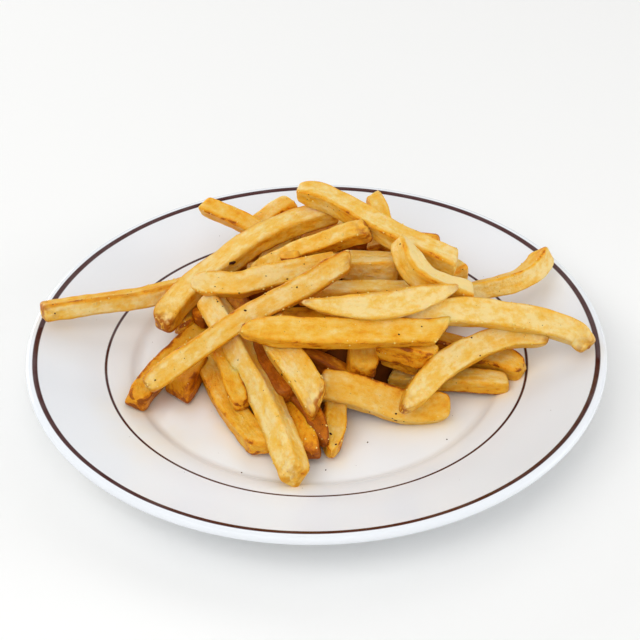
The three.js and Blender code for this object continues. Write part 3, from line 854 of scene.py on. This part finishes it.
# larger dark flakes on the fries: x, y, z, radius and stretch along x
flakes = [
    (-32.2, 24.6, 36.8, 0.85, 2.3), (-104, 4, 29, 0.35, 1), (-99, 9, 25, 0.3, 1.3),
    (-39, 2, 36, 0.45, 1), (-27, -13, 42, 0.45, 1.5), (-19, -9, 46, 0.35, 1),
    (-11, 7, 43, 0.35, 1.4), (-7, -8, 49, 0.4, 1), (-34, -18, 31, 0.45, 1.2),
    (-61, -35, 26, 0.4, 1), (-53, -30, 23, 0.35, 1), (5, -54, 14.5, 0.6, 1),
    (7, -59, 13.5, 0.5, 1), (31, -30, 42, 0.4, 1), (40, -26, 43, 0.35, 1),
    (30, -42, 11, 0.5, 1.6), (20, -40, 13, 0.4, 1), (30, -44, 16, 0.4, 1.2),
    (60, -18, 31, 0.4, 1), (63, -24, 27, 0.35, 1), (33, 6, 59, 0.4, 1), (32, 4, 50, 0.5, 1.3),
    (-13, -34, 27, 0.6, 1), (-30, 1, 40, 0.4, 1),
]
plateFlakes = [(-28, -66, 0.4), (3, -65, 0.35), (19, -50, 0.4), (49, -49, 0.35)]


def pebble():
    bpy.ops.mesh.primitive_ico_sphere_add(subdivisions=1, radius=1)
    ball = bpy.context.object
    points = np.array([vertex.co for vertex in ball.data.vertices])
    faces = [tuple(polygon.vertices) for polygon in ball.data.polygons]
    bpy.data.objects.remove(ball)
    return points, faces


def pressedOn(place, outward, radius, flat, stretch=1.0):
    # one uneven grain lying on a surface
    points, faces = grain
    outward = Vector(outward).normalized()
    aside = Vector((0, 1, 0))
    if abs(outward.x) < 0.9:
        aside = (Vector((1, 0, 0)) - outward * outward.x).normalized()
    axes = np.array([aside, outward.cross(aside), outward])
    uneven = np.array([speckRng.uniform(*specks["uneven"]) for _ in points])[:, None]
    grown = points * uneven * radius * np.array([stretch, 1.0, flat])
    lifted = np.array(place) + grown @ axes + np.array(outward) * radius * flat * specks["lift"]
    return {"vertices": lifted, "faces": faces}


def openSpots(count, onCorners):
    # spots on the fries that nothing lies on
    rings = [(shape, i) for shape in shapes for i in range(2, len(shape["grid"]) - 2)]
    spots = []
    while len(spots) < count:
        shape, i = speckRng.choice(rings)
        columns = range(len(shape["isCorner"]))
        if speckRng.random() < onCorners:
            columns = [j for j in columns if shape["isCorner"][j]]
        point = shape["grid"][i, speckRng.choice(columns)]
        place = fryTree.find_nearest(Vector(point))[0]
        outward = Vector(point - shape["grid"][i].mean(axis=0)).normalized()
        start = place + outward * specks["clearFrom"]
        covered = fryTree.ray_cast(start, outward, specks["clearFor"])[0]
        if outward.z > specks["leastUp"] and covered is None:
            spots.append((place, outward))
    return spots


def speckMaterial(name, colour, roughness):
    material, tree, shader = newMaterial(name)
    place = addNode(tree, "ShaderNodeTexCoord").outputs["Object"]
    darker = tuple(c * specks["darker"] for c in colour[:3]) + (1,)
    setInputs(tree, shader, {
        "Base Color": blend(tree, noiseOf(tree, place, specks["grainScale"], 1), colour, darker),
        "Roughness": roughness, "Specular IOR Level": specks["specular"],
    })
    return material


def speckPiece(name, grains, material):
    piece = joinedMesh(name, grains)
    piece.data.materials.append(material)
    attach(piece, "root")
    return piece


def treeOf(piece):
    return BVHTree.FromPolygons([vertex.co / mm for vertex in piece.data.vertices],
                                [tuple(polygon.vertices) for polygon in piece.data.polygons])


def warmShadeBesideFries():
    # painted warm shade on the plate: strongest where a fry touches it, with one painted patch of
    # its own in the cove
    coveX, coveY, reach, strength = plate["coveWarmShade"]
    warmShadeAmount = []
    for vertex in glazedPlate.data.vertices:
        gap = fryTree.find_nearest(vertex.co / mm)[3]
        away = math.hypot(vertex.co.x / mm - coveX, vertex.co.y / mm - coveY)
        patch = strength * math.exp(-(away / reach) ** 2)
        warmShadeAmount.append(plate["warmShadeStrength"] * math.exp(-gap / plate["warmShadeReach"]) + patch)
    return np.array(warmShadeAmount)


def fallenSpecks():
    # on the plate where no fry covers it
    fallen = list(plateFlakes)
    while len(fallen) < specks["plateSpecks"]:
        angle = speckRng.uniform(0, 2 * math.pi)
        away = speckRng.uniform(*specks["plateReach"])
        x, y = away * math.cos(angle), away * math.sin(angle) - specks["plateOffset"]
        if fryTree.ray_cast(Vector((x, y, 0)), Vector((0, 0, 1)), 90)[0] is None:
            fallen.append((x, y, speckRng.uniform(*specks["plateSpeckSize"])))
    return fallen


fryTree, plateTree = treeOf(heapOfFries), treeOf(glazedPlate)
paintLayer(glazedPlate, "plateWarmShade", "FLOAT", "value", warmShadeBesideFries())
speckRng = random.Random(specks["seed"])
grain = pebble()
pepper = []
for x, y, z, radius, stretch in flakes:
    place, outward, _, _ = fryTree.find_nearest(Vector((x, y, z)))
    pepper.append(pressedOn(place, outward, radius, specks["flakeFlat"], stretch))
for place, outward in openSpots(specks["pepper"], specks["pepperOnCorners"]):
    radius = speckRng.uniform(*specks["pepperSize"])
    stretch = speckRng.uniform(*specks["pepperStretch"])
    pepper.append(pressedOn(place, outward, radius, specks["pepperFlat"], stretch))
salt = [pressedOn(place, outward, speckRng.uniform(*specks["saltSize"]), specks["saltFlat"])
        for place, outward in openSpots(specks["salt"], specks["saltOnCorners"])]
plateGrains = []
for x, y, radius in fallenSpecks():
    place, outward, _, _ = plateTree.ray_cast(Vector((x, y, 60)), Vector((0, 0, -1)), 80)
    plateGrains.append(pressedOn(place, outward, radius, specks["pepperFlat"]))
pepperDark = speckMaterial("pepperDark", specks["pepperColour"], specks["pepperRoughness"])
saltPale = speckMaterial("saltPale", specks["saltColour"], specks["saltRoughness"])
speckPiece("pepperSpecks", pepper, pepperDark)
speckPiece("saltGrains", salt, saltPale)
speckPiece("plateSpecks", plateGrains, pepperDark)
print("specks", len(pepper), len(salt), len(plateGrains))


# floor, light and camera

studio = {
    "floorSize": 20, "floorDrop": 0.0002, "floorColour": (0.90, 0.90, 0.89, 1),
    "floorRoughness": 0.9, "floorSpecular": 0.1, "sky": 0.38,
    "lampAway": 1.4, "lampSize": 0.9,  # metres
    # azimuth from the right, elevation, watts
    "lamps": {
        "lowRight": (0, 10, 6.0), "right": (0, 25, 1.5), "backRight": (45, 48, 1.3),
        "back": (90, 48, 1.8), "lowBackLeft": (135, 10, 8.4), "left": (180, 48, 1.7),
        "frontLeft": (225, 48, 4.8), "lowFront": (270, 25, 2.6), "front": (270, 48, 2.4),
        "overhead": (270, 72, 1.8),
    },
    # the camera's place in mm, and which way its right and up sides point
    "lens": 77.1, "sensor": 36, "nearest": 0.01, "eye": (1.668, -438.147, 352.189),
    "right": (0.99990, -0.00842, -0.01136), "up": (0.01414, 0.59560, 0.80315),
}


def makeFloor():
    bpy.ops.object.select_all(action="DESELECT")
    bpy.ops.mesh.primitive_plane_add(size=studio["floorSize"],
                                     location=(0, 0, -studio["floorDrop"]))
    floor = bpy.context.object
    floor.name = "paleFloor"
    material, tree, shader = newMaterial("paleFloor")
    setInputs(tree, shader, {
        "Base Color": studio["floorColour"], "Roughness": studio["floorRoughness"],
        "Specular IOR Level": studio["floorSpecular"],
    })
    floor.data.materials.append(material)


def makeLights():
    for name, (azimuth, elevation, watts) in studio["lamps"].items():
        turn, rise = math.radians(azimuth), math.radians(elevation)
        level = math.cos(rise)
        toward = Vector((level * math.cos(turn), level * math.sin(turn), math.sin(rise)))
        lamp = bpy.data.lights.new(name, "AREA")
        lamp.shape = "DISK"
        lamp.size = studio["lampSize"]
        lamp.energy = watts
        softbox = bpy.data.objects.new(name, lamp)
        bpy.context.collection.objects.link(softbox)
        softbox.location = toward * studio["lampAway"]
        softbox.rotation_euler = toward.to_track_quat("Z", "Y").to_euler()
    world = bpy.data.worlds.new("sky")
    world.use_nodes = True
    sky = {"Color": (1, 1, 1, 1), "Strength": studio["sky"]}
    setInputs(world.node_tree, world.node_tree.nodes["Background"], sky)
    bpy.context.scene.world = world


def makeCamera():
    lens = bpy.data.cameras.new("eye")
    lens.lens = studio["lens"]
    lens.sensor_width = studio["sensor"]
    lens.clip_start = studio["nearest"]
    eye = bpy.data.objects.new("eye", lens)
    bpy.context.collection.objects.link(eye)
    right, up = Vector(studio["right"]), Vector(studio["up"])
    turn = Matrix((right, up, right.cross(up))).transposed().to_4x4()
    eye.matrix_world = Matrix.Translation(Vector(studio["eye"]) * mm) @ turn
    bpy.context.scene.camera = eye


makeFloor()
makeLights()
makeCamera()
bpy.context.scene.view_settings.view_transform = "Standard"
print("studio ready")
